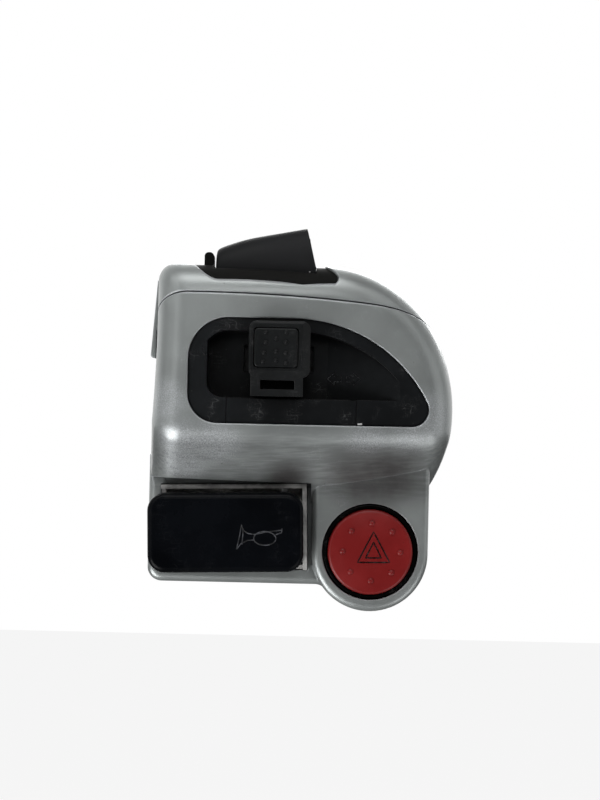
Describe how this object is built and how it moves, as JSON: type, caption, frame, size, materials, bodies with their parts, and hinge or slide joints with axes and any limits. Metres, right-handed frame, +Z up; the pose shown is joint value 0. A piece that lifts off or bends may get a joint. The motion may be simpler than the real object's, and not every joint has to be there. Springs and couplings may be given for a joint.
{
  "type": "handlebar switch cluster",
  "caption": "Two-shell handlebar switch housing with a sliding indicator switch and push-to-cancel cap, a dip rocker on top, a hinged horn key and a round hazard push button.",
  "frame": {"origin": "on the axis of the handlebar tube, in the middle of the clamp barrel as seen from the front", "axes": "+X along the handlebar to the rider's right, +Y forwards and away from the rider, +Z up"},
  "size_m": [0.063, 0.0526, 0.0782],
  "materials": {
    "casing_grey": "moulded, satin",
    "black_gloss": "moulded, gloss",
    "lever_black": "moulded, soft gloss",
    "horn_black": "moulded, gloss",
    "hazard_red": "moulded in colour",
    "frame_brown": "moulded, satin",
    "rubber_black": "moulded",
    "steel": "zinc plated",
    "spring_steel": "drawn wire",
    "inner_black": "moulded",
    "contact_brass": "stamped"
  },
  "bodies": {
    "housing": {"front_housing": "casing_grey", "upper_housing": "casing_grey", "clamp_screws": "steel", "rear_cover": "casing_grey", "rear_cover_screws": "steel", "cable_grommet": "rubber_black", "indicator_bezel": "black_gloss", "blanking_strip": "black_gloss", "indicator_base": "inner_black", "indicator_contacts": "contact_brass", "indicator_screws": "steel", "dip_bezel": "black_gloss", "dip_base": "inner_black", "dip_contacts": "contact_brass", "dip_pivot_pin": "steel", "horn_frame": "frame_brown", "horn_hinge_pin": "steel", "horn_screws": "steel", "horn_fixed_contact": "contact_brass", "hazard_sleeve": "black_gloss", "hazard_switch_body": "inner_black", "hazard_terminals": "contact_brass"},
    "slider": {"indicator_knob": "black_gloss", "indicator_carrier": "inner_black", "slider_contact": "contact_brass", "detent_ball": "steel", "detent_spring": "spring_steel"},
    "cancel": {"cancel_cap": "black_gloss", "cancel_spring": "spring_steel"},
    "dip": {"dip_lever": "lever_black", "dip_wiper": "contact_brass"},
    "horn": {"horn_key": "horn_black", "horn_moving_contact": "contact_brass", "horn_spring": "spring_steel"},
    "hazard": {"hazard_cap": "hazard_red", "hazard_plunger": "inner_black", "hazard_spring": "spring_steel"}
  },
  "joints": [
    {"name": "indicator_slide", "type": "slide", "parent": "housing", "child": "slider", "axis": [1, 0, 0], "range_m": [-0.0032, 0.0032]},
    {"name": "cancel_push", "type": "slide", "parent": "slider", "child": "cancel", "axis": [0, 1, 0], "range_m": [0, 0.001], "stiffness_N_per_m": 1500, "springref_m": -0.001, "deforming": ["cancel_spring"]},
    {"name": "dip_rock", "type": "hinge", "parent": "housing", "child": "dip", "pos_m": [-0.007, -0.0173, 0.0182], "axis": [1, 0, 0], "range_deg": [-10, 10]},
    {"name": "horn_press", "type": "hinge", "parent": "housing", "child": "horn", "pos_m": [-0.0026, -0.0126, -0.03001], "axis": [0.0279, 0, -0.9996], "range_deg": [0, 4], "stiffness_Nm_per_rad": 1, "springref_deg": -3.44, "deforming": ["horn_spring"]},
    {"name": "hazard_press", "type": "slide", "parent": "housing", "child": "hazard", "axis": [0, 1, 0], "range_m": [0, 0.0025], "stiffness_N_per_m": 800, "springref_m": -0.001, "deforming": ["hazard_spring"]}
  ]
}
